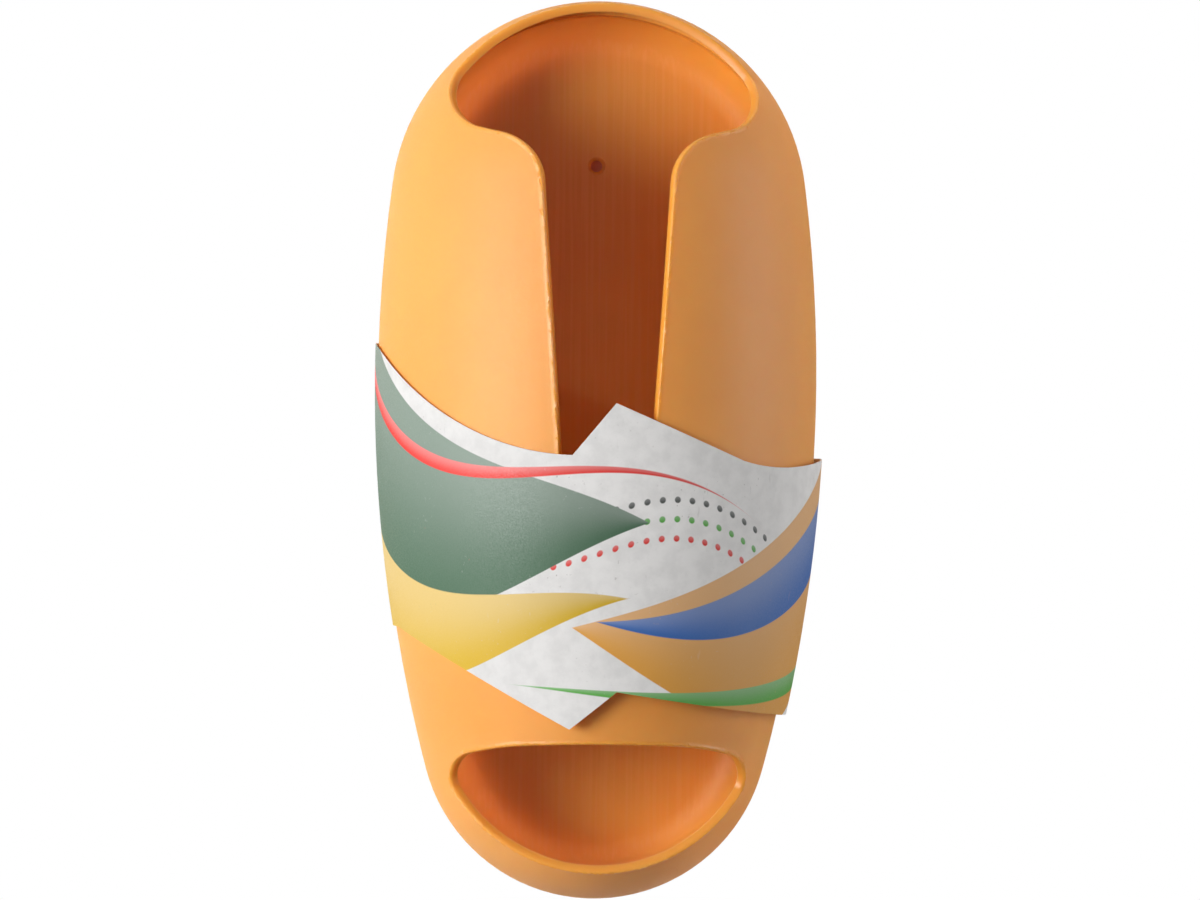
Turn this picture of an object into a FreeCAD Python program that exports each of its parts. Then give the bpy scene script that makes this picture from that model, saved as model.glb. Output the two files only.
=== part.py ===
"""Wall-hung holder for carrier bags: a two-shell plastic pod and the printed card sleeve it is sold in.

Bags go in at the mouth, are seen through the slot and are pulled out at the lower opening.
Millimetres, +Z up, the front faces -Y. The origin is the screw hole, on the wall's plane.
"""
import FreeCAD
import Part

import math
import os

V = FreeCAD.Vector
X = V(1, 0, 0)
Y = V(0, 1, 0)
Z = V(0, 0, 1)

# Pod outline seen from the front: a crown arc, a base arc and two long flank arcs, all tangent
pod_height = 290.0
crown_radius = 67.2
base_radius = 56.3
flank_radius = 485.0

# Walls and the joint between the front and the rear shell
wall = 2.5
rim_land = 4.0
back_round = 16.0
collar_reach = 4.0
collar_root = 3.0
collar_wall = 1.6
collar_clearance = 0.4
joint_bevel = 0.4

# Mouth and slot, measured on the front shell's outer face
mouth_inset = 2.2
mouth_crown_radius = 59.0
mouth_half_width = 48.6
mouth_corner_radius = 12.5
ledge_angle = math.radians(15.1)
shoulder_radius = 17.0
slot_foot = 86.5
slot_end_radius = 11.0
slot_draft = math.radians(4.0)

# Lower opening: a flat brow that droops at its ends, over a round scoop with two rounded corners
scoop_foot = 11.4
scoop_brow = 52.7
scoop_radius = 53.6
brow_radius = 360.0
brow_half_width = 23.5
brow_end_radius = 78.0
scoop_corner_radius = 8.3

# Rounded outer edge of both openings
lip_round = 2.0

# Countersunk screw hole in the back wall
screw_drop = 52.0
screw_radius = 1.9
countersink_radius = 2.9

# Card sleeve: a closed band that hangs a little to one side
card = 0.5
sleeve_gap = 1.3
sleeve_shift = 0.8
glue_lap_width = 18.0

# Heights of the sleeve's cut edges above the pod's foot, and how far to the side they turn
left_top = 179.0
notch_x = -11.5
notch_top = 143.4
peak_x = 2.0
peak_top = 159.5
dip_x = 43.0
dip_top = 142.0
right_top = 142.8
left_foot = 88.0
tip_x = -10.8
tip_foot = 58.2
heel_x = 3.0
heel_foot = 70.0
right_foot = 60.5
swoop_x = -48.5
swoop_top = 154.2
hollow_x = 55.5
hollow_top = 140.0

# How finely the openings' edges follow the dome, and how far their cuts overshoot the wall
rim_samples = 7
overshoot = 3.0
touch = 0.01

rear_depth = rim_land + back_round
crown_z = pod_height - crown_radius
base_z = base_radius
flank_z = (crown_z + base_z) / 2 + (crown_radius - base_radius) * (
    2 * flank_radius - crown_radius - base_radius
) / (2 * (crown_z - base_z))
flank_x = -math.sqrt((flank_radius - crown_radius) ** 2 - (flank_z - crown_z) ** 2)
crown_slope = (crown_z - flank_z) / (flank_radius - crown_radius)
base_slope = (base_z - flank_z) / (flank_radius - base_radius)
screw_z = pod_height - screw_drop
beyond = 2 * pod_height


def flank_at(z, offset=0.0):
    """Half width of the flank arc, grown by an offset, at a height."""
    return flank_x + math.sqrt((flank_radius + offset) ** 2 - (z - flank_z) ** 2)


def arc(centre_x, centre_z, radius, start, end):
    """Arc in the front view, between two angles from +X towards +Z."""
    centre = V(centre_x, 0, centre_z)
    turns = [start, (start + end) / 2, end]
    points = [centre + V(math.cos(a), 0, math.sin(a)) * radius for a in turns]
    return Part.Arc(*points).toShape()


def flat_face(edges):
    return Part.Face(Part.Wire(Part.__sortEdges__(edges)))


def mirrored(edges):
    return [edge.mirror(V(0, 0, 0), X) for edge in edges]


def outline(offset):
    """Face of the pod's outline in the joint plane, grown or shrunk by an offset."""
    crown_turn = math.asin(crown_slope)
    base_turn = math.asin(base_slope)
    flank = arc(flank_x, flank_z, flank_radius + offset, base_turn, crown_turn)
    crown = arc(0, crown_z, crown_radius + offset, crown_turn, math.pi - crown_turn)
    base = arc(0, base_z, base_radius + offset, base_turn, -math.pi - base_turn)
    return flat_face([flank, crown, base] + mirrored([flank]))


def hemisphere(centre_z, radius, seam):
    """Front half of a ball, with its seam on the side that is cut away afterwards."""
    centre = V(0, 0, centre_z)
    pole = centre - Y * radius
    side = centre + seam * radius
    middle = centre + (seam - Y).normalize() * radius
    edges = [
        Part.Arc(pole, middle, side).toShape(),
        Part.makeLine(side, centre),
        Part.makeLine(centre, pole),
    ]
    return flat_face(edges).revolve(centre, Y, 360)


def slab(low, high):
    """Everything between two heights."""
    return Part.makeBox(beyond, beyond, high - low, V(-beyond / 2, -beyond / 2, low))


def dome(offset):
    """Front half of the pod as a solid of revolution: crown cap, belly and base cap."""
    high = crown_z + (crown_radius + offset) * crown_slope
    low = base_z + (base_radius + offset) * base_slope
    crown = hemisphere(crown_z, crown_radius + offset, -Z).common(slab(high, high + beyond))
    base = hemisphere(base_z, base_radius + offset, Z).common(slab(low - beyond, low))
    corners = [V(flank_at(z, offset), 0, z) for z in (low, (low + high) / 2, high)]
    edges = [
        Part.Arc(*corners).toShape(),
        Part.makeLine(corners[2], V(0, 0, high)),
        Part.makeLine(V(0, 0, high), V(0, 0, low)),
        Part.makeLine(V(0, 0, low), corners[0]),
    ]
    belly = flat_face(edges).revolve(V(0, 0, 0), Z, -180)
    return belly.fuse([crown, base]).removeSplitter().Solids[0]


def tray(offset, front=0.0):
    """Rear half of the pod: the outline run back to a flat wall, with a rounded back edge."""
    block = outline(offset).extrude(Y * (rear_depth + offset))
    back = [edge for edge in block.Edges if edge.BoundBox.YMin > rear_depth + offset - touch]
    block = block.makeFillet(back_round + offset, back)
    if front:
        block = block.fuse(outline(offset).extrude(Y * -front)).removeSplitter()
    return block.Solids[0]


def joint_groove(way):
    """Ring that breaks a shell's outer edge at the joint, in front of it or behind it."""
    reach = Y * (2 * joint_bevel * way)
    inner = outline(-joint_bevel).OuterWire
    outer = outline(joint_bevel).OuterWire
    outer.translate(reach)
    core = Part.makeLoft([inner, outer], True, True)
    return outline(2 * joint_bevel).extrude(reach).cut(core)


def on_dome(x, z):
    """Point of the dome's outer face in front of a place in the front view, and the normal there."""
    if z > crown_z + crown_radius * crown_slope:
        centre_x, centre_z, radius = 0.0, crown_z, crown_radius
    elif z < base_z + base_radius * base_slope:
        centre_x, centre_z, radius = 0.0, base_z, base_radius
    else:
        centre_x, centre_z, radius = flank_x, flank_z, flank_radius
    reach = math.sqrt(max(radius**2 - (z - centre_z) ** 2, touch))
    ring = centre_x + reach
    y = -math.sqrt(max(ring**2 - x**2, touch))
    return V(x, y, z), V(reach * x / ring, reach * y / ring, z - centre_z) / radius


def rim_point(x, z, depth):
    """Point at a depth under the dome's outer face, measured along its normal."""
    point, normal = on_dome(x, z)
    return point - normal * depth


def rim_curve(edge, depth):
    """One stretch of an opening's edge, laid on the dome at a depth, tangent to its neighbours."""
    first, last = edge.ParameterRange
    steps = [first + (last - first) * i / (rim_samples - 1) for i in range(rim_samples)]
    points = [rim_point(edge.valueAt(s).x, edge.valueAt(s).z, depth) for s in steps]
    tangents = []
    for s in (first, last):
        place, way = edge.valueAt(s), edge.tangentAt(s) * touch
        ahead, behind = place + way, place - way
        rise = rim_point(ahead.x, ahead.z, depth) - rim_point(behind.x, behind.z, depth)
        tangents.append(rise * (edge.Length / (2 * touch)))
    curve = Part.BSplineCurve()
    spread = [i / (rim_samples - 1) for i in range(rim_samples)]
    curve.interpolate(
        Points=points,
        Parameters=spread,
        InitialTangent=tangents[0],
        FinalTangent=tangents[1],
        Scale=False,
    )
    return curve.toShape()


def ribbon(edges):
    """Cut faces of an opening, square to the dome all the way round."""
    faces = []
    for edge in edges:
        faces.append(Part.makeRuledSurface(rim_curve(edge, -overshoot), rim_curve(edge, wall + overshoot)))
    return Part.makeCompound(faces)


def open_rim(shell, edges):
    """Cut an opening through the shell and round its outer edge."""
    cut = ribbon(edges)
    pieces, _ = shell.generalFuse(cut.Faces)
    kept = max(pieces.Solids, key=lambda solid: solid.BoundBox.DiagonalLength)
    rim = []
    for edge in kept.Edges:
        middle = edge.valueAt(sum(edge.ParameterRange) / 2)
        surface, _ = on_dome(middle.x, middle.z)
        if surface.distanceToPoint(middle) < touch and cut.distToShape(Part.Vertex(middle))[0] < touch:
            rim.append(edge)
    return kept.makeFillet(lip_round, rim)


def mouth_edges():
    """Wide mouth under the crown, shoulders and the slot that narrows to a round foot."""
    top_z = pod_height - mouth_inset - mouth_crown_radius
    corner_x = mouth_half_width - mouth_corner_radius
    corner_z = top_z + math.sqrt((mouth_crown_radius - mouth_corner_radius) ** 2 - corner_x**2)
    corner_turn = math.atan2(corner_z - top_z, corner_x)
    under = V(math.sin(ledge_angle), 0, -math.cos(ledge_angle))
    outward = V(math.cos(ledge_angle), 0, math.sin(ledge_angle))
    ledge_start = V(corner_x, 0, corner_z) + under * mouth_corner_radius

    foot_z = slot_foot + slot_end_radius
    beside = V(math.cos(slot_draft), 0, -math.sin(slot_draft))
    downward = V(-math.sin(slot_draft), 0, -math.cos(slot_draft))
    slot_start = V(0, 0, foot_z) + beside * slot_end_radius

    # The ledge meets the slot's side, and the shoulder rounds that corner as far as the ledge has room
    ledge_run = beside.dot(ledge_start - slot_start) / beside.dot(outward)
    meet = ledge_start - outward * ledge_run
    half_bend = math.tan((math.pi / 2 - ledge_angle - slot_draft) / 2)
    shoulder = min(shoulder_radius, (ledge_run - lip_round) / half_bend)
    ledge_end = meet + outward * (shoulder * half_bend)
    slot_end = meet + downward * (shoulder * half_bend)
    centre = ledge_end + under * shoulder
    half = [
        arc(0, top_z, mouth_crown_radius, math.pi / 2, corner_turn),
        arc(corner_x, corner_z, mouth_corner_radius, corner_turn, ledge_angle - math.pi / 2),
        Part.makeLine(ledge_start, ledge_end),
        arc(centre.x, centre.z, shoulder, math.pi / 2 + ledge_angle, math.pi - slot_draft),
        Part.makeLine(slot_end, slot_start),
        arc(0, foot_z, slot_end_radius, -slot_draft, -math.pi / 2),
    ]
    return half + mirrored(half)


def inner_corner(first, first_radius, second, second_radius, radius):
    """Centre of a small arc inside two large ones that cross on the right, tangent to both."""
    first_reach = first_radius - radius
    second_reach = second_radius - radius
    way = first - second
    apart = way.Length
    along = (second_reach**2 - first_reach**2 + apart**2) / (2 * apart)
    aside = math.sqrt(second_reach**2 - along**2)
    way.normalize()
    return second + way * along + V(-way.z, 0, way.x) * aside


def scoop_edges():
    """Lower opening that the bags are pulled from."""
    brow = V(0, 0, scoop_brow - brow_radius)
    scoop = V(0, 0, scoop_foot + scoop_radius)
    brow_turn = math.acos(brow_half_width / brow_radius)
    brow_end = brow + V(math.cos(brow_turn), 0, math.sin(brow_turn)) * (brow_radius - brow_end_radius)
    corner = inner_corner(brow_end, brow_end_radius, scoop, scoop_radius, scoop_corner_radius)
    end_turn = math.atan2(corner.z - brow_end.z, corner.x - brow_end.x)
    scoop_turn = math.atan2(corner.z - scoop.z, corner.x)
    half = [
        arc(0, brow.z, brow_radius, math.pi / 2, brow_turn),
        arc(brow_end.x, brow_end.z, brow_end_radius, brow_turn, end_turn),
        arc(corner.x, corner.z, scoop_corner_radius, end_turn, scoop_turn),
        arc(0, scoop.z, scoop_radius, scoop_turn, -math.pi / 2),
    ]
    return half + mirrored(half)


def front_shell():
    shell = dome(0).cut([dome(-wall), joint_groove(-1)]).Solids[0]
    shell = open_rim(shell, mouth_edges())
    return open_rim(shell, scoop_edges())


def rear_shell():
    """Dished back with a collar that plugs into the front shell, and the screw hole."""
    shell = tray(0).cut([tray(-wall, front=wall), joint_groove(1)])
    bore = wall + collar_clearance + collar_wall
    collar = outline(-wall - collar_clearance).extrude(Y * -collar_reach)
    root = outline(-wall + touch).extrude(Y * collar_root)
    inside = outline(-bore).extrude(Y * (collar_reach + collar_root + 2 * touch))
    inside.translate(Y * -(collar_reach + touch))
    shell = shell.fuse(collar.fuse(root).cut(inside)).removeSplitter()
    sink = countersink_radius - screw_radius
    start = V(0, rear_depth - wall, screw_z)
    cone = Part.makeCone(countersink_radius, screw_radius, sink, start, Y)
    hole = Part.makeCylinder(screw_radius, 2 * wall, start, Y)
    return shell.cut(cone.fuse(hole)).removeSplitter()


def band(offset):
    """Whole pod grown by an offset: what the sleeve is bent round."""
    return dome(offset).fuse(tray(offset)).removeSplitter().Solids[0]


def cut_zone():
    """Space between the sleeve's cut edges: zig-zags in front, straight edges behind."""
    left = -beyond
    right = beyond
    side = flank_x + flank_radius + sleeve_gap + card

    def line(*points):
        spots = [V(x, 0, z) for x, z in points]
        return [Part.makeLine(a, b) for a, b in zip(spots, spots[1:])]

    swoop = Part.Arc(V(-side, 0, left_top), V(swoop_x, 0, swoop_top), V(notch_x, 0, notch_top)).toShape()
    hollow = Part.Arc(V(dip_x, 0, dip_top), V(hollow_x, 0, hollow_top), V(side, 0, right_top)).toShape()
    turn_left = -flank_at(left_foot)
    turn_right = flank_at(right_foot)
    front = line((left, left_foot), (left, left_top), (-side, left_top)) + [swoop]
    front += line((notch_x, notch_top), (peak_x, peak_top), (dip_x, dip_top)) + [hollow]
    front += line((side, right_top), (right, right_top), (right, right_foot), (turn_right, right_foot))
    front += line((turn_right, right_foot), (heel_x, heel_foot), (tip_x, tip_foot), (turn_left, left_foot))
    front += line((turn_left, left_foot), (left, left_foot))
    corner = turn_right - back_round
    back = line((left, left_foot), (left, left_top), (-corner, left_top), (corner, right_top))
    back += line((corner, right_top), (right, right_top), (right, right_foot), (corner, right_foot))
    back += line((corner, right_foot), (-corner, left_foot), (left, left_foot))
    ahead = flat_face(front).extrude(Y * -beyond)
    behind = flat_face(back).extrude(Y * beyond)
    return ahead.fuse(behind)


def card_sleeve():
    zone = cut_zone()
    sleeve = band(sleeve_gap + card).cut(band(sleeve_gap)).common(zone)
    outer = rear_depth + sleeve_gap + card
    lap = Part.makeBox(glue_lap_width, card, beyond, V(-glue_lap_width / 2, outer, 0)).common(zone)
    sleeve = sleeve.fuse(lap).removeSplitter().Solids[0]
    sleeve.translate(X * sleeve_shift)
    return sleeve


def export(name, shape):
    """Move a piece so that the screw hole on the wall's plane is the origin, and write it."""
    shape.translate(V(0, -rear_depth, -screw_z))
    shape.exportStep("parts/%s.step" % name)
    print("%-12s %d solids, valid %s, %.0f mm3" % (name, len(shape.Solids), shape.isValid(), shape.Volume))


os.makedirs("parts", exist_ok=True)
export("front_shell", front_shell())
export("rear_shell", rear_shell())
export("card_sleeve", card_sleeve())
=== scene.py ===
"""Looks of a wall-hung bag dispenser: a satin moulded pod, a printed card sleeve and a plain studio."""
import math

import bmesh
import bpy
from bpy.props import FloatProperty, FloatVectorProperty, PointerProperty
from mathutils import Matrix, Quaternion, Vector


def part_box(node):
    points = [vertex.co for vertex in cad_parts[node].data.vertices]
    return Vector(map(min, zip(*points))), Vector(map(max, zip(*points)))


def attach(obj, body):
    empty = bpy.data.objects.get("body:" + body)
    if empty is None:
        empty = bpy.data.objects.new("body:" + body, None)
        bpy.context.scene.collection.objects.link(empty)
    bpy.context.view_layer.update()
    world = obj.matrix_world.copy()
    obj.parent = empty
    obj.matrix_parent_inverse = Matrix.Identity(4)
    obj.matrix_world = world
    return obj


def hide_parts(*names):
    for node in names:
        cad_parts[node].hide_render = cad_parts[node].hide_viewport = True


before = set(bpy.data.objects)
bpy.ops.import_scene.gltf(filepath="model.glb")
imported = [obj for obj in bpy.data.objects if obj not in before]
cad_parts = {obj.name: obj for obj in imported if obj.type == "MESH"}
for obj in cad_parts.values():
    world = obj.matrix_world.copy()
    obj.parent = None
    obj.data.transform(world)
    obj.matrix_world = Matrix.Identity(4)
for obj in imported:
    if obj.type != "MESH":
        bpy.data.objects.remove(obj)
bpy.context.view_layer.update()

bl_info = {
    "name": "Bag Dispenser Looks",
    "version": (1, 0, 0),
    "blender": (4, 5, 0),
    "location": "View3D > Sidebar > Bag Dispenser",
    "description": "Dresses the bag dispenser with moulded plastic and printed card, and sets up a studio",
    "category": "Object",
}

# Places that come from the frame, in metres
POD_LOW, POD_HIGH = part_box("front_shell")
SLEEVE_LOW, SLEEVE_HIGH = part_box("card_sleeve")
JOINT_Y = POD_HIGH.y
POD_RADIUS = POD_HIGH.x
SLEEVE_X = (SLEEVE_LOW.x + SLEEVE_HIGH.x) / 2
SLEEVE_RADIUS = (SLEEVE_HIGH.x - SLEEVE_LOW.x) / 2
SLEEVE_MIDDLE = (SLEEVE_LOW.z + SLEEVE_HIGH.z) / 2

# Radii of the pod's outline, and the heights of their centres on the pod's spine
CROWN_RADIUS = 0.0672
BASE_RADIUS = 0.0563
SPINE_LOW = POD_LOW.z + BASE_RADIUS
SPINE_HIGH = POD_HIGH.z - CROWN_RADIUS

# The photograph's frame, and the width of the sensor that stands for it
PHOTO_WIDTH = 1200
SENSOR_MM = 36.0

# How far red, green and blue light travel in the front and the rear shell, against the glow depth
FRONT_GLOW = (1.0, 0.8, 0.6)
REAR_GLOW = (1.6, 1.4, 1.3)

# Refraction of the plastic
PLASTIC_IOR = 1.49

# Stretches of a noise from which a finish takes its roughness and its clouds
NOISE_RANGE = (0.3, 0.7)
CLOUD_RANGE = (0.35, 0.65)

# Upright tool lines: their stretch, the part of the noise that shows, and the depth where the back is flat
LINE_STRETCH = (1.0, 1.0, 0.02)
LINE_RANGE = (0.40, 0.66)
FLAT_BACK = (-0.006, -0.003)

# Mottling of the card: its size, the part of the noise that shows, and its shade
MOTTLE_SIZE = 0.006
MOTTLE_RANGE = (0.35, 0.70)
MOTTLE_SHADE = 0.90

# Flecks and short scratches in the card, and the patches in which they lie
FLECK_SIZE = 0.0012
FLECK_RANGE = (0.66, 0.76)
FLECK_SHARE = 0.75
SCRATCH_SIZE = 0.0022
SCRATCH_STRETCH = (1.0, 1.0, 0.22)
SCRATCH_RANGE = (0.69, 0.77)
SCRATCH_SHARE = 0.8
PATCH_SIZE = 0.018
PATCH_RANGE = (0.45, 0.70)

# Tooth of the card: its size, then its depth and the card's roughness, bare and printed
TOOTH_SIZE = 0.0005
BARE_TOOTH = 0.00004
BARE_ROUGH = (0.7, 0.9)
PRINTED_TOOTH = 0.00003
PRINTED_ROUGH = (0.62, 0.82)

# Printing: where the painted shade fades, how far flecks break the ink, the ink's sheen and its soft edge
PAINTED_SHADE_RUN = (-0.06, 0.03)
INK_BREAK = 0.35
INK_SHEEN = 0.15
INK_BLUR = 0.0002

# Plain black and white, the studio's greys, and painted orange light on the wall seen through the screw hole
BLACK = (0, 0, 0)
WHITE = (1, 1, 1)
PAPER = (0.84, 0.84, 0.84)
FLOOR_CLOUD = (0.80, 0.80, 0.80)
FLOOR_BOUNCE = (0.2, 0.2, 0.2)
SCREW_PAINTED_GLOW = (0.90, 0.40, 0.30)

# The studio's paper: size and depth of its clouds, its roughness, and how far the wall reaches under the pod
STUDIO_CLOUD = 0.4
PALE_CLOUD = 0.95
STUDIO_ROUGH = 0.9
WALL_REACH = 0.019

# Depths inside the pod's outline at which the wall's band of light rises and fades
GLOW_RISE = (-0.006, 0.002)
GLOW_FADE = (0.010, 0.022)

# Directions to the right over which the room that the plastic mirrors goes from its left to its right
ROOM_RANGE = (-0.2, 0.8)

# Sides of the round floor and wall, and of the round bit behind the screw hole
ROUND_SIDES = 96
SCREW_SIDES = 32

# Lamps: azimuth and elevation in degrees, then distance, width and height
KEY_LAMP = (-51, 4, 1.3, 0.9, 0.5)
FILL_LAMP = (84, 6, 1.3, 0.35, 0.8)
TOP_LAMP = (-8, 74, 1.3, 0.5, 0.3)
BACK_LAMP = (172, 14, 1.3, 0.6, 0.6)

# Wall: its clearance behind the sleeve and its place, then place and radius of the bit by the screw hole
WALL_CLEARANCE = 0.0004
WALL_GAP = SLEEVE_HIGH.y + WALL_CLEARANCE
SCREW_GAP = 0.0002
SCREW_SIGHT = 0.0026

# How squarely the plain and the etched plastic face out of the pod, in the front and the rear shell
# The etched share also sets where the paler colour, a painted sheen, goes
FRONT_ETCHED_SHEEN = (0.93, 0.99)
REAR_ETCHED_SHEEN = (0.0, 0.1)

# How far ahead of the joint the raised lips start, and where they reach their full height
LIP_START = 0.008
LIP_FULL = 0.014

# Turn away from the outer face at which the raised lip ends: it crests halfway there
LIP_TURN = math.radians(120)

# Sizes of one printed ribbon, and those of a row of dots after its level
RIBBON_SIZES = ["Level", "Slope", "Swing", "Wave", "Phase", "Left Width", "Right Width", "Dots"]
DOT_LEVEL = 0.066
DOT_STEP = 0.006
DOT_SIZES = (-0.10, 0.008, 0.120, 0.2, 0.0020, 0.0020, 0.0050)

# Height over which the sleeve is drawn in above its middle
PRESS_RUN = 0.022

# Waves of the sleeve: how many go round it, their climb in radians per metre, and where each starts
WAVES_ROUND = 5
WAVES_UP = 70
ROUND_PHASE = 0.7
UP_PHASE = 1.1

# How squarely a face of the sleeve looks out where it is printed
PRINT_FACING = 0.2

# Name of the vertex attribute that tells the etched outer face from plain lips and insides
# The etched outer face is also where a sheen is painted into the colour
ETCHED_SHEEN = "etched"

# Places of the colours among the sockets of a mix node
MIX_UNDER = 6
MIX_OVER = 7
MIX_RESULT = 2

# Vertices of the frame closer than this are one, and faces that turn more than this are not smooth
MERGE = 0.00001
SHARP = math.radians(35)


class PodFinish(bpy.types.PropertyGroup):
    """Moulded plastic of the two shells."""

    # Painted sheen: the etched face is paler than the deep plastic, a sheen painted into its colour
    colour: FloatVectorProperty(
        name="Plastic", description="Colour of the etched outer face", subtype="COLOR", min=0, max=1,
        default=(0.95, 0.377, 0.078),
    )
    deep_colour: FloatVectorProperty(
        name="Deep Plastic", description="Colour of the plain lips and insides", subtype="COLOR",
        min=0, max=1, default=(0.95, 0.345, 0.046),
    )
    cloudiness: FloatProperty(
        name="Cloudiness", description="How much darker the slow clouds in the plastic are", min=0, max=1,
        default=0.04,
    )
    smooth: FloatProperty(
        name="Smooth", description="Roughness where the mould was polished most", min=0, max=1, default=0.50,
    )
    rough: FloatProperty(
        name="Rough", description="Roughness where the mould was etched most", min=0, max=1, default=0.60,
    )
    polish: FloatProperty(
        name="Polish", description="How much smoother the lips are", min=0, max=1, default=0.16,
    )
    inside_polish: FloatProperty(
        name="Inside Polish", description="How much smoother the dished rear shell is", min=0, max=1,
        default=0.10,
    )
    grain: FloatProperty(
        name="Grain", description="Size of the etched grain", unit="LENGTH", default=0.0007,
    )
    cloud: FloatProperty(
        name="Cloud", description="Size of the slow changes in colour", unit="LENGTH", default=0.035,
    )
    relief: FloatProperty(
        name="Relief", description="Depth of the etched grain", unit="LENGTH", default=0.00002,
    )
    bead: FloatProperty(
        name="Bead", description="How far the rounded lips are drawn out into a bead", unit="LENGTH",
        default=0.001,
    )
    glow: FloatProperty(
        name="Glow", description="Share of the light that passes into the plastic", min=0, max=1, default=0.6,
    )
    glow_depth: FloatProperty(
        name="Glow Depth", description="How far red light travels in the plastic", unit="LENGTH",
        default=0.007,
    )
    line_pitch: FloatProperty(
        name="Draw Lines", description="Spacing of the upright tool lines on the back wall", unit="LENGTH",
        default=0.0011,
    )
    line_relief: FloatProperty(
        name="Line Relief", description="Depth of the upright tool lines", unit="LENGTH", default=0.00002,
    )
    line_tint: FloatProperty(
        name="Line Tint", description="How much paler the tool lines are", min=0, max=1, default=0.015,
    )


class CardFinish(bpy.types.PropertyGroup):
    """Card of the sleeve, its bend and its printing inks."""

    card: FloatVectorProperty(
        name="Card", description="Colour of the bare card", subtype="COLOR", min=0, max=1,
        default=(0.90, 0.885, 0.87),
    )
    fleck: FloatVectorProperty(
        name="Fleck", description="Colour of the grey fibres in the card", subtype="COLOR", min=0, max=1,
        default=(0.50, 0.48, 0.46),
    )
    sage: FloatVectorProperty(
        name="Sage Ink", description="Broad ribbon on the left", subtype="COLOR", min=0, max=1,
        default=(0.055, 0.125, 0.070),
    )
    yellow: FloatVectorProperty(
        name="Yellow Ink", description="Narrow ribbon under the sage one", subtype="COLOR", min=0, max=1,
        default=(0.60, 0.38, 0.012),
    )
    orange: FloatVectorProperty(
        name="Orange Ink", description="Broad ribbon on the right", subtype="COLOR", min=0, max=1,
        default=(0.74, 0.35, 0.06),
    )
    blue: FloatVectorProperty(
        name="Blue Ink", description="Ribbon inside the orange one", subtype="COLOR", min=0, max=1,
        default=(0.04, 0.14, 0.44),
    )
    red: FloatVectorProperty(
        name="Red Ink", description="Fine line over the sage ribbon, and a row of dots", subtype="COLOR",
        min=0, max=1, default=(0.70, 0.03, 0.02),
    )
    green: FloatVectorProperty(
        name="Green Ink", description="Fine line low on the right, and a row of dots", subtype="COLOR",
        min=0, max=1, default=(0.09, 0.38, 0.05),
    )
    grey: FloatVectorProperty(
        name="Grey Ink", description="Row of dots", subtype="COLOR", min=0, max=1,
        default=(0.06, 0.065, 0.06),
    )
    # Painted shade: the card is printed darker towards the left, where the key lamp lights it most
    tone: FloatProperty(
        name="Tone", description="Depth of the grey tone that is printed towards the left", min=0, max=1,
        default=0.27,
    )
    fade: FloatProperty(
        name="Fade", description="How much paler a ribbon is at its upper edge", min=0, max=1, default=0.16,
    )
    flare: FloatProperty(
        name="Flare", description="How far the lower edge stands off", unit="LENGTH", default=0.0035,
    )
    press: FloatProperty(
        name="Press", description="How far the upper edge is drawn in towards the pod", unit="LENGTH",
        default=0.0009,
    )
    ripple: FloatProperty(
        name="Ripple", description="How far the card waves in and out", unit="LENGTH", default=0.00015,
    )


class StudioSetup(bpy.types.PropertyGroup):
    """Camera, lamps, wall and floor."""

    distance: FloatProperty(
        name="Camera Distance", description="From the lens to the middle of the pod", unit="LENGTH",
        default=1.5,
    )
    azimuth: FloatProperty(
        name="Camera Azimuth", description="How far round the pod the camera stands", subtype="ANGLE",
        default=math.radians(-2.65),
    )
    roll: FloatProperty(
        name="Camera Roll", description="Tilt of the picture", subtype="ANGLE", default=math.radians(0.5),
    )
    pixel: FloatProperty(
        name="Pixel", description="Width of one photograph pixel at the pod", unit="LENGTH",
        default=0.0003238,
    )
    aim_right: FloatProperty(
        name="Aim Right", description="How far the picture's middle lies right of the pod's", unit="LENGTH",
        default=0.0011,
    )
    aim_down: FloatProperty(
        name="Aim Down", description="How far the picture's middle lies under the screw hole", unit="LENGTH",
        default=0.0930,
    )
    ambient: FloatProperty(
        name="Ambient", description="Strength of the even light from all sides", min=0, default=0.05,
    )
    gloss: FloatProperty(
        name="Gloss", description="How bright the room's left looks in the plastic's sheen", min=0,
        default=1.0,
    )
    right_gloss: FloatProperty(
        name="Right Gloss", description="How bright the room's right looks in the plastic's sheen", min=0,
        default=0.3,
    )
    key_power: FloatProperty(
        name="Key Lamp", description="Power of the tall lamp at the front left", unit="POWER", default=19.0,
    )
    fill_power: FloatProperty(
        name="Fill Lamp", description="Power of the soft lamp on the right", unit="POWER", default=6.9,
    )
    top_power: FloatProperty(
        name="Top Lamp", description="Power of the lamp over the pod", unit="POWER", default=3.0,
    )
    back_power: FloatProperty(
        name="Back Lamp", description="Power of the weak lamp behind the pod", unit="POWER", default=2.0,
    )
    wall_radius: FloatProperty(
        name="Wall Radius", description="Radius of the white wall behind the pod", unit="LENGTH", default=0.7,
    )
    wall_glow: FloatProperty(
        name="Wall Glow", description="Light of the wall behind the pod's left edge", min=0, default=1.1,
    )
    floor_drop: FloatProperty(
        name="Floor Drop", description="How far the floor lies under the pod, clear of the slid sleeve",
        unit="LENGTH", default=0.16,
    )
    floor_radius: FloatProperty(
        name="Floor Radius", description="Radius of the round floor", unit="LENGTH", default=1.2,
    )


# Node helpers

def add_node(tree, kind, values=None, **settings):
    """Place a node, set its settings, and fill its inputs with values or link them to sockets."""
    made = tree.nodes.new(kind)
    for name, value in settings.items():
        setattr(made, name, value)
    for socket, value in (values or {}).items():
        if isinstance(value, bpy.types.NodeSocket):
            tree.links.new(value, made.inputs[socket])
        else:
            made.inputs[socket].default_value = value
    return made


def calc(tree, operation, *terms):
    """Math node, as its output socket."""
    return add_node(tree, "ShaderNodeMath", dict(enumerate(terms)), operation=operation).outputs[0]


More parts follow.
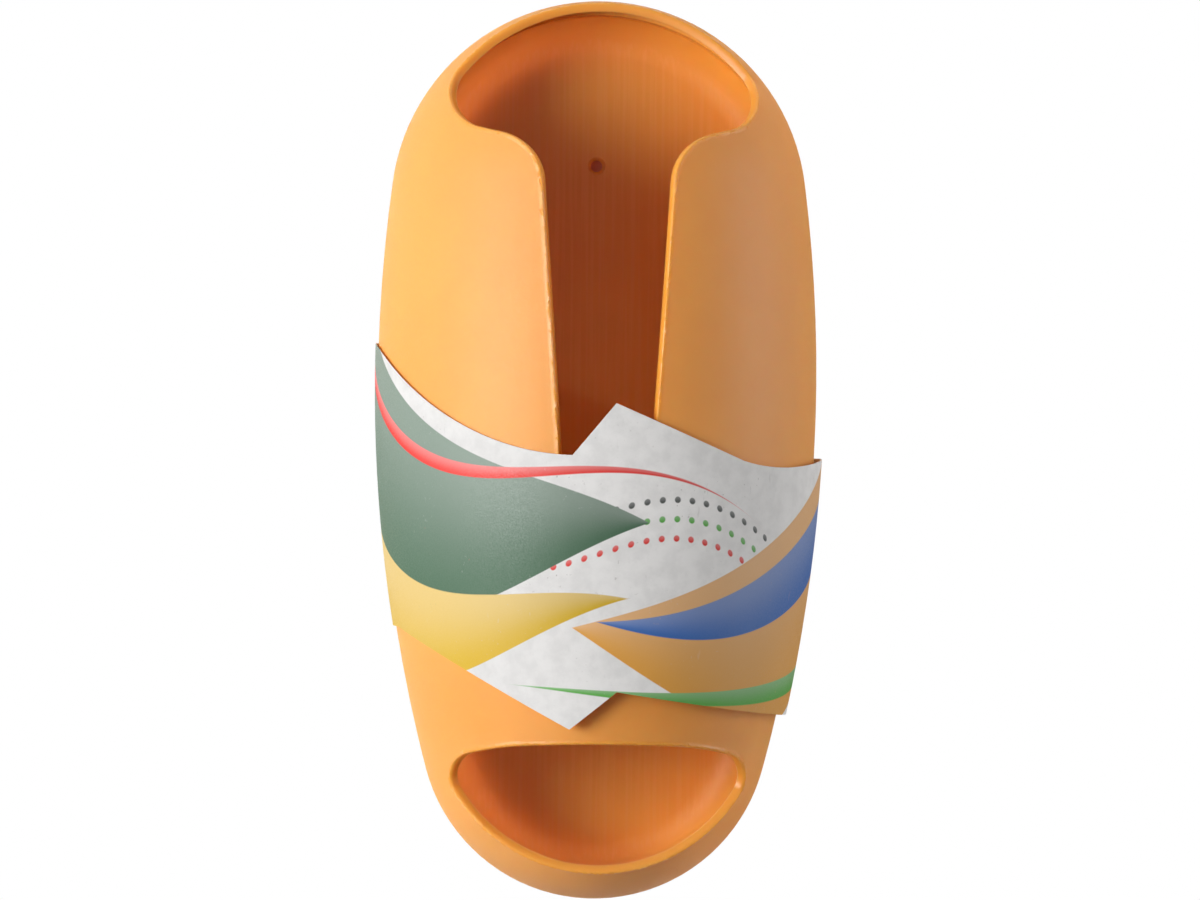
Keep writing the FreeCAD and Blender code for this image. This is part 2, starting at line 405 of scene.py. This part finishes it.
def remap(tree, value, low, high, start=0.0, end=1.0, smooth=True):
    """Map a range to another one, clamped, as an output socket."""
    sockets = {"Value": value, "From Min": low, "From Max": high, "To Min": start, "To Max": end}
    kind = "SMOOTHSTEP" if smooth else "LINEAR"
    return add_node(tree, "ShaderNodeMapRange", sockets, interpolation_type=kind).outputs["Result"]


def blend_colour(tree, share, under, over):
    """Mix two colours, as an output socket."""
    mixer = add_node(tree, "ShaderNodeMix", {0: share}, data_type="RGBA")
    for place, colour in ((MIX_UNDER, under), (MIX_OVER, over)):
        if isinstance(colour, bpy.types.NodeSocket):
            tree.links.new(colour, mixer.inputs[place])
        else:
            mixer.inputs[place].default_value = (*colour, 1)
    return mixer.outputs[MIX_RESULT]


def noise(tree, position, size, detail=2.0, rough=0.5):
    """Noise of a given size in metres, as an output socket."""
    scale = calc(tree, "DIVIDE", 1.0, size)
    sockets = {"Vector": position, "Scale": scale, "Detail": detail, "Roughness": rough}
    return add_node(tree, "ShaderNodeTexNoise", sockets).outputs["Fac"]


def stretched(tree, position, scale):
    """Coordinates with each axis scaled."""
    return add_node(tree, "ShaderNodeMapping", {"Vector": position, "Scale": scale}).outputs["Vector"]


def new_group(name, inputs, outputs):
    """Empty shader node group with named sockets."""
    tree = bpy.data.node_groups.new(name, "ShaderNodeTree")
    for label in inputs:
        kind = "NodeSocketVector" if label == "Position" else "NodeSocketFloat"
        tree.interface.new_socket(label, in_out="INPUT", socket_type=kind)
    for label in outputs:
        tree.interface.new_socket(label, in_out="OUTPUT", socket_type="NodeSocketFloat")
    return tree, tree.nodes.new("NodeGroupInput").outputs, tree.nodes.new("NodeGroupOutput").inputs


def use_group(tree, group, values):
    """Place a node group, as its output sockets."""
    return add_node(tree, "ShaderNodeGroup", values, node_tree=group).outputs


def group_named(name, build):
    """Node group of that name, built the first time it is asked for."""
    return bpy.data.node_groups.get(name) or build(name)


def new_material(name):
    """Material with an empty tree: its tree, its shader and its object coordinates."""
    material = bpy.data.materials.new(name)
    material.use_nodes = True
    tree = material.node_tree
    tree.nodes.clear()
    shader = add_node(tree, "ShaderNodeBsdfPrincipled")
    add_node(tree, "ShaderNodeOutputMaterial", {"Surface": shader.outputs["BSDF"]})
    position = add_node(tree, "ShaderNodeTexCoord").outputs["Object"]
    return material, tree, shader, position


def link_relief(tree, shader, height, distance):
    """Bump of a given depth on the shader's normal."""
    bump = add_node(tree, "ShaderNodeBump", {"Height": height, "Distance": distance, "Strength": 1.0})
    tree.links.new(bump.outputs["Normal"], shader.inputs["Normal"])


# Node groups that several materials share

def moulded_grain(name):
    """Etched mould surface: a fine relief and slow clouds."""
    tree, inlet, outlet = new_group(name, ["Position", "Grain", "Cloud"], ["Relief", "Clouds"])
    fine = noise(tree, inlet["Position"], inlet["Grain"], detail=3.0, rough=0.6)
    slow = noise(tree, inlet["Position"], inlet["Cloud"])
    tree.links.new(fine, outlet["Relief"])
    tree.links.new(remap(tree, slow, *CLOUD_RANGE), outlet["Clouds"])
    return tree


def card_fibre(name):
    """Recycled card: pale mottling, grey flecks, short scratches and a fine tooth."""
    tree, inlet, outlet = new_group(name, ["Position"], ["Mottle", "Flecks", "Tooth"])
    position = inlet["Position"]
    mottle = noise(tree, position, MOTTLE_SIZE, detail=4.0, rough=0.6)
    flecks = remap(tree, noise(tree, position, FLECK_SIZE), *FLECK_RANGE)
    drawn_out = stretched(tree, position, SCRATCH_STRETCH)
    scratches = remap(tree, noise(tree, drawn_out, SCRATCH_SIZE, detail=3.0), *SCRATCH_RANGE)
    patches = remap(tree, noise(tree, position, PATCH_SIZE), *PATCH_RANGE)
    marks = calc(tree, "MAXIMUM", flecks, calc(tree, "MULTIPLY", scratches, SCRATCH_SHARE))
    tree.links.new(remap(tree, mottle, *MOTTLE_RANGE), outlet["Mottle"])
    tree.links.new(calc(tree, "MULTIPLY", marks, patches), outlet["Flecks"])
    tree.links.new(noise(tree, position, TOOTH_SIZE), outlet["Tooth"])
    return tree


def wrapped_card(name):
    """Place on the printed sheet: how far round from the middle of the front, and how high."""
    tree, inlet, outlet = new_group(name, ["Position"], ["Across", "Up"])
    place = add_node(tree, "ShaderNodeSeparateXYZ", {"Vector": inlet["Position"]}).outputs
    right = calc(tree, "SUBTRACT", place["X"], SLEEVE_X)
    ahead = calc(tree, "SUBTRACT", JOINT_Y, place["Y"])
    turn = calc(tree, "ARCTAN2", right, ahead)
    tree.links.new(calc(tree, "MULTIPLY", turn, SLEEVE_RADIUS), outlet["Across"])
    tree.links.new(calc(tree, "SUBTRACT", place["Z"], SLEEVE_LOW.z), outlet["Up"])
    return tree


def print_ribbon(name):
    """Wavy ribbon or row of dots across the sheet, which ends where its width falls to nothing."""
    tree, inlet, outlet = new_group(name, ["Across", "Up", *RIBBON_SIZES], ["Ribbon", "Side"])
    quarter = SLEEVE_RADIUS * math.pi / 2
    angle = calc(tree, "MULTIPLY", calc(tree, "DIVIDE", inlet["Across"], inlet["Wave"]), 2 * math.pi)
    wave = calc(tree, "SINE", calc(tree, "ADD", angle, inlet["Phase"]))
    rise = calc(tree, "MULTIPLY_ADD", inlet["Across"], inlet["Slope"], inlet["Level"])
    centre = calc(tree, "MULTIPLY_ADD", wave, inlet["Swing"], rise)
    share = remap(tree, inlet["Across"], -quarter, quarter)
    growth = calc(tree, "SUBTRACT", inlet["Right Width"], inlet["Left Width"])
    half = calc(tree, "MULTIPLY", calc(tree, "MULTIPLY_ADD", share, growth, inlet["Left Width"]), 0.5)
    off = calc(tree, "SUBTRACT", inlet["Up"], centre)
    step = calc(tree, "FRACT", calc(tree, "DIVIDE", inlet["Across"], inlet["Dots"]))
    beside = calc(tree, "MULTIPLY", calc(tree, "SUBTRACT", step, 0.5), inlet["Dots"])
    squares = calc(tree, "MULTIPLY_ADD", beside, beside, calc(tree, "MULTIPLY", off, off))
    inside = calc(tree, "SUBTRACT", half, calc(tree, "SQRT", squares))
    tree.links.new(remap(tree, inside, -INK_BLUR, INK_BLUR), outlet["Ribbon"])
    tree.links.new(remap(tree, calc(tree, "DIVIDE", off, half), -1.0, 1.0), outlet["Side"])
    return tree


# Materials

def shell_plastic(name, finish, drawn):
    """Satin moulded plastic, with upright tool lines where it was drawn off a core."""
    material, tree, shader, position = new_material(name)
    grain = group_named("Moulded Grain", moulded_grain)
    surface = use_group(tree, grain, {"Position": position, "Grain": finish.grain, "Cloud": finish.cloud})
    etched = add_node(tree, "ShaderNodeAttribute", attribute_name=ETCHED_SHEEN).outputs["Fac"]
    # Painted sheen: the etched face takes the paler colour; lips and insides take the deep plastic
    colour = blend_colour(tree, etched, finish.deep_colour, finish.colour)
    clouds = calc(tree, "MULTIPLY", surface["Clouds"], finish.cloudiness)
    colour = blend_colour(tree, clouds, colour, BLACK)
    rough = remap(tree, surface["Relief"], *NOISE_RANGE, finish.smooth, finish.rough)
    plain = calc(tree, "SUBTRACT", 1.0, etched)
    polish = finish.inside_polish if drawn else finish.polish
    rough = calc(tree, "MULTIPLY_ADD", plain, -polish, rough)
    tree.links.new(rough, shader.inputs["Roughness"])
    relief = surface["Relief"]
    if drawn:
        upright = stretched(tree, position, LINE_STRETCH)
        lines = noise(tree, upright, finish.line_pitch)
        worn = [part + finish.line_tint * (1 - part) for part in finish.deep_colour]
        back = add_node(tree, "ShaderNodeSeparateXYZ", {"Vector": position}).outputs["Y"]
        lines = calc(tree, "MULTIPLY", lines, remap(tree, back, *FLAT_BACK))
        colour = blend_colour(tree, remap(tree, lines, *LINE_RANGE), colour, worn)
        share = finish.line_relief / finish.relief
        relief = calc(tree, "MULTIPLY_ADD", lines, share, relief)
    tree.links.new(colour, shader.inputs["Base Color"])
    link_relief(tree, shader, relief, finish.relief)
    shader.inputs["IOR"].default_value = PLASTIC_IOR
    shader.inputs["Subsurface Weight"].default_value = finish.glow
    shader.inputs["Subsurface Scale"].default_value = finish.glow_depth
    shader.inputs["Subsurface Radius"].default_value = REAR_GLOW if drawn else FRONT_GLOW
    return material


def bare_card(tree, position, finish):
    """Colour of the unprinted card, as an output socket, and the outputs of its fibres."""
    fibre = use_group(tree, group_named("Card Fibre", card_fibre), {"Position": position})
    dull = [MOTTLE_SHADE * part for part in finish.card]
    colour = blend_colour(tree, fibre["Mottle"], finish.card, dull)
    flecks = calc(tree, "MULTIPLY", fibre["Flecks"], FLECK_SHARE)
    return blend_colour(tree, flecks, colour, finish.fleck), fibre


def plain_card(name, finish):
    """Unprinted inside and cut edges of the card."""
    material, tree, shader, position = new_material(name)
    colour, fibre = bare_card(tree, position, finish)
    tree.links.new(colour, shader.inputs["Base Color"])
    tree.links.new(remap(tree, fibre["Tooth"], *NOISE_RANGE, *BARE_ROUGH), shader.inputs["Roughness"])
    link_relief(tree, shader, fibre["Tooth"], BARE_TOOTH)
    return material


def printed_ribbons(finish):
    """Rows of dots and ribbons from the lowest layer up: ink, then the sizes that RIBBON_SIZES names."""
    dots = [finish.grey, finish.green, finish.red]
    return [
        *[(ink, DOT_LEVEL - DOT_STEP * row, *DOT_SIZES) for row, ink in enumerate(dots)],
        (finish.sage, 0.058, -0.30, 0.012, 0.190, 0.6, 0.074, -0.052, 0.0),
        (finish.yellow, 0.031, -0.14, 0.012, 0.190, 0.9, 0.036, -0.030, 0.0),
        (finish.orange, 0.032, 0.14, -0.012, 0.230, 0.2, -0.056, 0.076, 0.0),
        (finish.blue, 0.038, 0.16, -0.010, 0.210, 0.5, -0.022, 0.024, 0.0),
        (finish.red, 0.074, -0.34, 0.012, 0.190, 0.6, 0.0055, -0.0015, 0.0),
        (finish.green, 0.012, 0.03, -0.004, 0.230, 0.2, -0.003, 0.0070, 0.0),
    ]


def printed_card(name, finish):
    """Outside of the card: wavy ribbons of ink that cross the sheet, over a painted shade on the left."""
    material, tree, shader, position = new_material(name)
    colour, fibre = bare_card(tree, position, finish)
    sheet = use_group(tree, group_named("Wrapped Card", wrapped_card), {"Position": position})
    ribbon = group_named("Print Ribbon", print_ribbon)
    # Painted shade: the card darkens towards the left, against the key lamp's light there
    tone = remap(tree, sheet["Across"], *PAINTED_SHADE_RUN, finish.tone, 0.0)
    colour = blend_colour(tree, tone, colour, BLACK)
    whole = calc(tree, "SUBTRACT", 1.0, calc(tree, "MULTIPLY", fibre["Flecks"], INK_BREAK))
    inked = 0.0
    for ink, *sizes in printed_ribbons(finish):
        values = {"Across": sheet["Across"], "Up": sheet["Up"], **dict(zip(RIBBON_SIZES, sizes))}
        found = use_group(tree, ribbon, values)
        faded = [part + finish.fade * (1 - part) for part in ink]
        body = blend_colour(tree, found["Side"], ink, faded)
        share = calc(tree, "MULTIPLY", found["Ribbon"], whole)
        colour = blend_colour(tree, share, colour, body)
        inked = calc(tree, "MAXIMUM", inked, share)
    tree.links.new(colour, shader.inputs["Base Color"])
    tooth = remap(tree, fibre["Tooth"], *NOISE_RANGE, *PRINTED_ROUGH)
    rough = calc(tree, "MULTIPLY_ADD", inked, -INK_SHEEN, tooth)
    tree.links.new(rough, shader.inputs["Roughness"])
    link_relief(tree, shader, fibre["Tooth"], PRINTED_TOOTH)
    return material


def studio_white(name):
    """Pale floor, which throws little light back up on the pod."""
    material, tree, shader, position = new_material(name)
    cloud = noise(tree, position, STUDIO_CLOUD)
    shade = blend_colour(tree, cloud, FLOOR_CLOUD, PAPER)
    path = add_node(tree, "ShaderNodeLightPath").outputs
    shade = blend_colour(tree, path["Is Camera Ray"], FLOOR_BOUNCE, shade)
    tree.links.new(shade, shader.inputs["Base Color"])
    shader.inputs["Roughness"].default_value = STUDIO_ROUGH
    return material


def outline_depth(name):
    """How far a place lies inside the pod's outline: a crown and a base circle with straight flanks."""
    tree, inlet, outlet = new_group(name, ["Position"], ["Across", "Depth"])
    place = add_node(tree, "ShaderNodeSeparateXYZ", {"Vector": inlet["Position"]}).outputs
    ends = (SPINE_LOW, SPINE_HIGH)
    spine = remap(tree, place["Z"], *ends, *ends, smooth=False)
    radius = remap(tree, place["Z"], *ends, BASE_RADIUS, CROWN_RADIUS, smooth=False)
    off = calc(tree, "SUBTRACT", place["Z"], spine)
    squares = calc(tree, "MULTIPLY_ADD", off, off, calc(tree, "MULTIPLY", place["X"], place["X"]))
    tree.links.new(place["X"], outlet["Across"])
    tree.links.new(calc(tree, "SUBTRACT", radius, calc(tree, "SQRT", squares)), outlet["Depth"])
    return tree


def studio_wall(name, paper_or_painted_glow, glow):
    """Wall behind the pod, clear from behind, with a band of light under the pod's rounded left edge."""
    material, tree, shader, position = new_material(name)
    cloud = noise(tree, position, STUDIO_CLOUD)
    deep = [PALE_CLOUD * part for part in paper_or_painted_glow]
    tree.links.new(blend_colour(tree, cloud, deep, paper_or_painted_glow), shader.inputs["Base Color"])
    shader.inputs["Roughness"].default_value = STUDIO_ROUGH
    place = use_group(tree, group_named("Outline Depth", outline_depth), {"Position": position})
    rise = remap(tree, place["Depth"], *GLOW_RISE)
    fade = remap(tree, place["Depth"], *GLOW_FADE, 1.0, 0.0)
    near = calc(tree, "MULTIPLY", rise, fade)
    left = remap(tree, place["Across"], -POD_RADIUS, POD_RADIUS, glow, 0.0)
    light = blend_colour(tree, calc(tree, "MULTIPLY", near, left), BLACK, WHITE)
    tree.links.new(light, shader.inputs["Emission Color"])
    shader.inputs["Emission Strength"].default_value = 1.0
    path = add_node(tree, "ShaderNodeLightPath").outputs
    seen = calc(tree, "MAXIMUM", path["Is Camera Ray"], path["Is Transmission Ray"])
    bright = add_node(tree, "ShaderNodeEmission", {"Color": (*WHITE, 1), "Strength": 1.0})
    white = seen if glow else 0.0
    front = add_node(tree, "ShaderNodeMixShader", {0: white, 1: shader.outputs[0], 2: bright.outputs[0]})
    clear = add_node(tree, "ShaderNodeBsdfTransparent")
    behind = add_node(tree, "ShaderNodeNewGeometry").outputs["Backfacing"]
    both = add_node(tree, "ShaderNodeMixShader", {0: behind, 1: front.outputs[0], 2: clear.outputs[0]})
    tree.links.new(both.outputs[0], tree.nodes["Material Output"].inputs["Surface"])
    return material


# Pieces

def merged_copy(node):
    """Copy of a node of the frame with its loose triangles joined."""
    shape = bmesh.new()
    shape.from_mesh(node.data)
    bmesh.ops.remove_doubles(shape, verts=shape.verts, dist=MERGE)
    bmesh.ops.dissolve_degenerate(shape, edges=shape.edges, dist=MERGE)
    return shape


def smooth_mesh(name, shape, *materials):
    """Mesh of a finished shape: smooth, but for the edges that turn sharply."""
    for face in shape.faces:
        face.smooth = True
    mesh = bpy.data.meshes.new(name)
    shape.to_mesh(mesh)
    shape.free()
    stored = mesh.attributes.get("custom_normal")
    if stored:
        mesh.attributes.remove(stored)
    mesh.set_sharp_from_angle(angle=SHARP)
    for material in materials:
        mesh.materials.append(material)
    return mesh


def place_piece(name, mesh, body, node):
    """Object of a mesh that rides on a body and stands for a node."""
    piece = bpy.data.objects.new(name, mesh)
    bpy.context.scene.collection.objects.link(piece)
    even = piece.modifiers.new("even_normals", "WEIGHTED_NORMAL")
    even.keep_sharp = True
    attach(piece, body)
    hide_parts(node)
    return piece


def share_of(value, start, end):
    """How far a value lies between two others, from 0 to 1."""
    return min(max((value - start) / (end - start), 0), 1)


def way_out(vertex):
    """Direction out of the pod at a vertex, square to the pod's spine."""
    spine = Vector((0, JOINT_Y, min(max(vertex.co.z, SPINE_LOW), SPINE_HIGH)))
    return (vertex.co - spine).normalized()


def facing_out(vertex):
    """How squarely the faces round a vertex look out of the pod, from 1 to -1, by their areas."""
    normal = sum((face.normal * face.calc_area() for face in vertex.link_faces), Vector())
    return min(max(normal.normalized().dot(way_out(vertex)), -1), 1)


def mark_etched_sheen(shape, least, most):
    """Store how far each vertex faces out of the pod, as its share of the etched outer face and painted
    sheen.
    """
    layer = shape.verts.layers.float.new(ETCHED_SHEEN)
    shape.normal_update()
    for vertex in shape.verts:
        vertex[layer] = share_of(facing_out(vertex), least, most)


def raise_lips(shape, bead):
    """Draw the rounded lips of the openings out into a low bead, clear of the joint between the shells."""
    shape.normal_update()
    moves = []
    for vertex in shape.verts:
        turned = share_of(math.acos(facing_out(vertex)), 0, LIP_TURN)
        crest = math.sin(math.pi * turned) ** 2
        clear = share_of(JOINT_Y - vertex.co.y, LIP_START, LIP_FULL)
        moves.append(way_out(vertex) * bead * crest * clear)
    for vertex, move in zip(shape.verts, moves):
        vertex.co += move


def moulded_shell(name, node, material, least, most, bead=0.0):
    """Shell of the pod with evenly shaded faces."""
    shape = merged_copy(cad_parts[node])
    mark_etched_sheen(shape, least, most)
    raise_lips(shape, bead)
    return place_piece(name, smooth_mesh(name, shape, material), "pod", node)


def bend_sleeve(shape, finish):
    """Draw the sleeve in above, stand it off below, wave it, and tell printed faces from bare ones."""
    axis = Vector((SLEEVE_X, JOINT_Y, 0))
    drop = SLEEVE_MIDDLE - SLEEVE_LOW.z
    for vertex in shape.verts:
        out = (vertex.co - axis) * Vector((1, 1, 0))
        turn = math.atan2(out.x, -out.y)
        front = max(math.cos(turn), 0)
        low = share_of(SLEEVE_MIDDLE - vertex.co.z, 0, drop)
        high = share_of(vertex.co.z - SLEEVE_MIDDLE, 0, PRESS_RUN)
        wave = math.sin(WAVES_ROUND * turn + ROUND_PHASE) * math.sin(WAVES_UP * vertex.co.z + UP_PHASE)
        shift = finish.flare * low**2 - finish.press * high * front + finish.ripple * (wave + 1)
        vertex.co += out.normalized() * front * shift
    shape.normal_update()
    for face in shape.faces:
        out = (face.calc_center_median() - axis) * Vector((1, 1, 0))
        face.material_index = 0 if face.normal.dot(out.normalized()) > PRINT_FACING else 1


# The studio's floor and wall

def stage_piece(scene, name, shape, material):
    """Piece of the studio, which isn't part of the object."""
    mesh = bpy.data.meshes.new(name)
    shape.to_mesh(mesh)
    shape.free()
    mesh.materials.append(material)
    piece = bpy.data.objects.new(name, mesh)
    scene.collection.objects.link(piece)


def stand_up(shape, gap, height):
    """Stand a flat shape upright behind the pod, with its faces to the front."""
    bmesh.ops.rotate(shape, verts=shape.verts, matrix=Matrix.Rotation(math.pi / 2, 3, "X"))
    bmesh.ops.translate(shape, verts=shape.verts, vec=(0, gap, height))
    for face in shape.faces:
        face.normal_update()
        if face.normal.y > 0:
            face.normal_flip()


# Operators, one for each piece and one for the studio

class BAGPOD_OT_front_shell(bpy.types.Operator):
    """Give the domed front shell its satin plastic"""

    bl_idname = "bagpod.front_shell"
    bl_label = "Front Shell"

    def execute(self, context):
        finish = context.scene.bagpod_plastic
        plastic = shell_plastic("front_plastic", finish, drawn=False)
        moulded_shell("moulded_front", "front_shell", plastic, *FRONT_ETCHED_SHEEN, finish.bead)
        return {"FINISHED"}


class BAGPOD_OT_rear_shell(bpy.types.Operator):
    """Give the dished rear shell its satin plastic with upright tool lines"""

    bl_idname = "bagpod.rear_shell"
    bl_label = "Rear Shell"

    def execute(self, context):
        finish = context.scene.bagpod_plastic
        plastic = shell_plastic("rear_plastic", finish, drawn=True)
        moulded_shell("moulded_rear", "rear_shell", plastic, *REAR_ETCHED_SHEEN)
        return {"FINISHED"}


class BAGPOD_OT_card_sleeve(bpy.types.Operator):
    """Bend the printed card round the pod"""

    bl_idname = "bagpod.card_sleeve"
    bl_label = "Card Sleeve"

    def execute(self, context):
        finish = context.scene.bagpod_card
        shape = merged_copy(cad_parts["card_sleeve"])
        bend_sleeve(shape, finish)
        cards = [printed_card("printed_card", finish), plain_card("plain_card", finish)]
        mesh = smooth_mesh("printed_sleeve", shape, *cards)
        place_piece("printed_sleeve", mesh, "sleeve", "card_sleeve")
        return {"FINISHED"}


class BAGPOD_OT_studio(bpy.types.Operator):
    """Set up the camera, the lamps, the white background and the floor"""

    bl_idname = "bagpod.studio"
    bl_label = "Studio"

    def execute(self, context):
        studio = context.scene.bagpod_studio
        aim = Vector((studio.aim_right, JOINT_Y, -studio.aim_down))
        self.camera(context.scene, studio, aim)
        lamps = {
            "key_lamp": (studio.key_power, *KEY_LAMP),
            "fill_lamp": (studio.fill_power, *FILL_LAMP),
            "top_lamp": (studio.top_power, *TOP_LAMP),
            "back_lamp": (studio.back_power, *BACK_LAMP),
        }
        for name, sizes in lamps.items():
            self.lamp(context.scene, name, aim, *sizes)
        self.background(context.scene, studio)
        self.floor(context.scene, studio)
        self.wall(context.scene, studio)
        self.wall_by_screw(context.scene)
        context.scene.view_settings.view_transform = "Standard"
        return {"FINISHED"}

    def camera(self, scene, studio, aim):
        """Camera at the photograph's angle, with its scale and framing."""
        back = Vector((math.sin(studio.azimuth), -math.cos(studio.azimuth), 0))
        camera = bpy.data.objects.new("camera", bpy.data.cameras.new("camera"))
        scene.collection.objects.link(camera)
        camera.data.sensor_width = SENSOR_MM
        camera.data.lens = SENSOR_MM * studio.distance / (studio.pixel * PHOTO_WIDTH)
        camera.location = aim + back * studio.distance
        camera.rotation_mode = "QUATERNION"
        roll = Quaternion((0, 0, 1), studio.roll)
        camera.rotation_quaternion = (-back).to_track_quat("-Z", "Y") @ roll
        scene.camera = camera

    def lamp(self, scene, name, aim, power, azimuth, elevation, distance, width, height):
        """Flat lamp that looks at the pod."""
        turn = math.radians(azimuth)
        lift = math.radians(elevation)
        way = Vector((math.sin(turn) * math.cos(lift), -math.cos(turn) * math.cos(lift), math.sin(lift)))
        lamp = bpy.data.objects.new(name, bpy.data.lights.new(name, "AREA"))
        scene.collection.objects.link(lamp)
        lamp.data.shape = "RECTANGLE"
        lamp.data.size = width
        lamp.data.size_y = height
        lamp.data.energy = power
        lamp.location = aim + way * distance
        lamp.rotation_mode = "QUATERNION"
        lamp.rotation_quaternion = (-way).to_track_quat("-Z", "Y")

    def background(self, scene, studio):
        """White room to the eye, dim as a light, and darker to the right in the plastic's sheen."""
        world = bpy.data.worlds.new("studio")
        world.use_nodes = True
        tree = world.node_tree
        tree.nodes.clear()
        path = add_node(tree, "ShaderNodeLightPath").outputs
        seen = calc(tree, "MAXIMUM", path["Is Camera Ray"], path["Is Transmission Ray"])
        way = add_node(tree, "ShaderNodeTexCoord").outputs["Generated"]
        right = add_node(tree, "ShaderNodeSeparateXYZ", {"Vector": way}).outputs["X"]
        room = remap(tree, right, *ROOM_RANGE, studio.gloss, studio.right_gloss)
        sheen = calc(tree, "MULTIPLY", path["Is Glossy Ray"], room)
        seen = calc(tree, "MAXIMUM", seen, sheen)
        strength = remap(tree, seen, 0.0, 1.0, studio.ambient, 1.0, smooth=False)
        sky = add_node(tree, "ShaderNodeBackground", {"Color": (*WHITE, 1), "Strength": strength})
        add_node(tree, "ShaderNodeOutputWorld", {"Surface": sky.outputs["Background"]})
        scene.world = world

    def floor(self, scene, studio):
        """Round floor under the pod and under the slid sleeve."""
        shape = bmesh.new()
        bmesh.ops.create_circle(shape, cap_ends=True, segments=ROUND_SIDES, radius=studio.floor_radius)
        bmesh.ops.translate(shape, verts=shape.verts, vec=(0, JOINT_Y, POD_LOW.z - studio.floor_drop))
        stage_piece(scene, "floor", shape, studio_white("studio_white"))

    def wall(self, scene, studio):
        """White wall round the pod's flat back, with a hole that follows the pod's outline."""
        middle = (POD_LOW.z + POD_HIGH.z) / 2
        shape = bmesh.new()
        bmesh.ops.create_circle(shape, segments=ROUND_SIDES, radius=studio.wall_radius)
        hole = bmesh.ops.create_circle(shape, segments=ROUND_SIDES, radius=1)["verts"]
        crown = [vertex for vertex in hole if vertex.co.y >= 0]
        base = [vertex for vertex in hole if vertex.co.y < 0]
        for half, radius, centre in ((crown, CROWN_RADIUS, SPINE_HIGH), (base, BASE_RADIUS, SPINE_LOW)):
            bmesh.ops.scale(shape, verts=half, vec=(radius - WALL_REACH, radius - WALL_REACH, 1))
            bmesh.ops.translate(shape, verts=half, vec=(0, centre - middle, 0))
        bmesh.ops.bridge_loops(shape, edges=shape.edges[:])
        stand_up(shape, WALL_GAP, middle)
        stage_piece(scene, "wall", shape, studio_wall("studio_wall", PAPER, studio.wall_glow))

    def wall_by_screw(self, scene):
        """Bit of the wall that shows through the screw hole, in the pod's shade, with painted orange light.
        """
        shape = bmesh.new()
        bmesh.ops.create_circle(shape, cap_ends=True, segments=SCREW_SIDES, radius=SCREW_SIGHT)
        stand_up(shape, SCREW_GAP, 0)
        # Painted light: this bit of wall is tinted orange for the light that comes through the plastic
        stage_piece(scene, "wall_by_screw", shape, studio_wall("wall_in_painted_glow", SCREW_PAINTED_GLOW, 0.0))


class BAGPOD_PT_sidebar(bpy.types.Panel):
    """Lists the pieces and the studio in the sidebar"""

    bl_label = "Bag Dispenser"
    bl_idname = "BAGPOD_PT_sidebar"
    bl_space_type = "VIEW_3D"
    bl_region_type = "UI"
    bl_category = "Bag Dispenser"

    def draw(self, context):
        for operator in OPERATORS:
            self.layout.operator(operator.bl_idname)
        for holder in SETTINGS:
            group = getattr(context.scene, holder)
            box = self.layout.box()
            for name in group.__annotations__:
                box.prop(group, name)


SETTINGS = {"bagpod_plastic": PodFinish, "bagpod_card": CardFinish, "bagpod_studio": StudioSetup}
OPERATORS = [BAGPOD_OT_front_shell, BAGPOD_OT_rear_shell, BAGPOD_OT_card_sleeve, BAGPOD_OT_studio]
CLASSES = [*SETTINGS.values(), *OPERATORS, BAGPOD_PT_sidebar]


def register():
    """Register the classes and hang the settings on the scene."""
    for made in CLASSES:
        bpy.utils.register_class(made)
    for holder, group in SETTINGS.items():
        setattr(bpy.types.Scene, holder, PointerProperty(type=group))


def unregister():
    """Take the settings off the scene and the classes out again."""
    for holder in SETTINGS:
        delattr(bpy.types.Scene, holder)
    for made in reversed(CLASSES):
        bpy.utils.unregister_class(made)


def main():
    """Make all pieces and the studio."""
    register()
    bpy.ops.bagpod.front_shell()
    bpy.ops.bagpod.rear_shell()
    bpy.ops.bagpod.card_sleeve()
    bpy.ops.bagpod.studio()


if __name__ == "__main__":
    main()
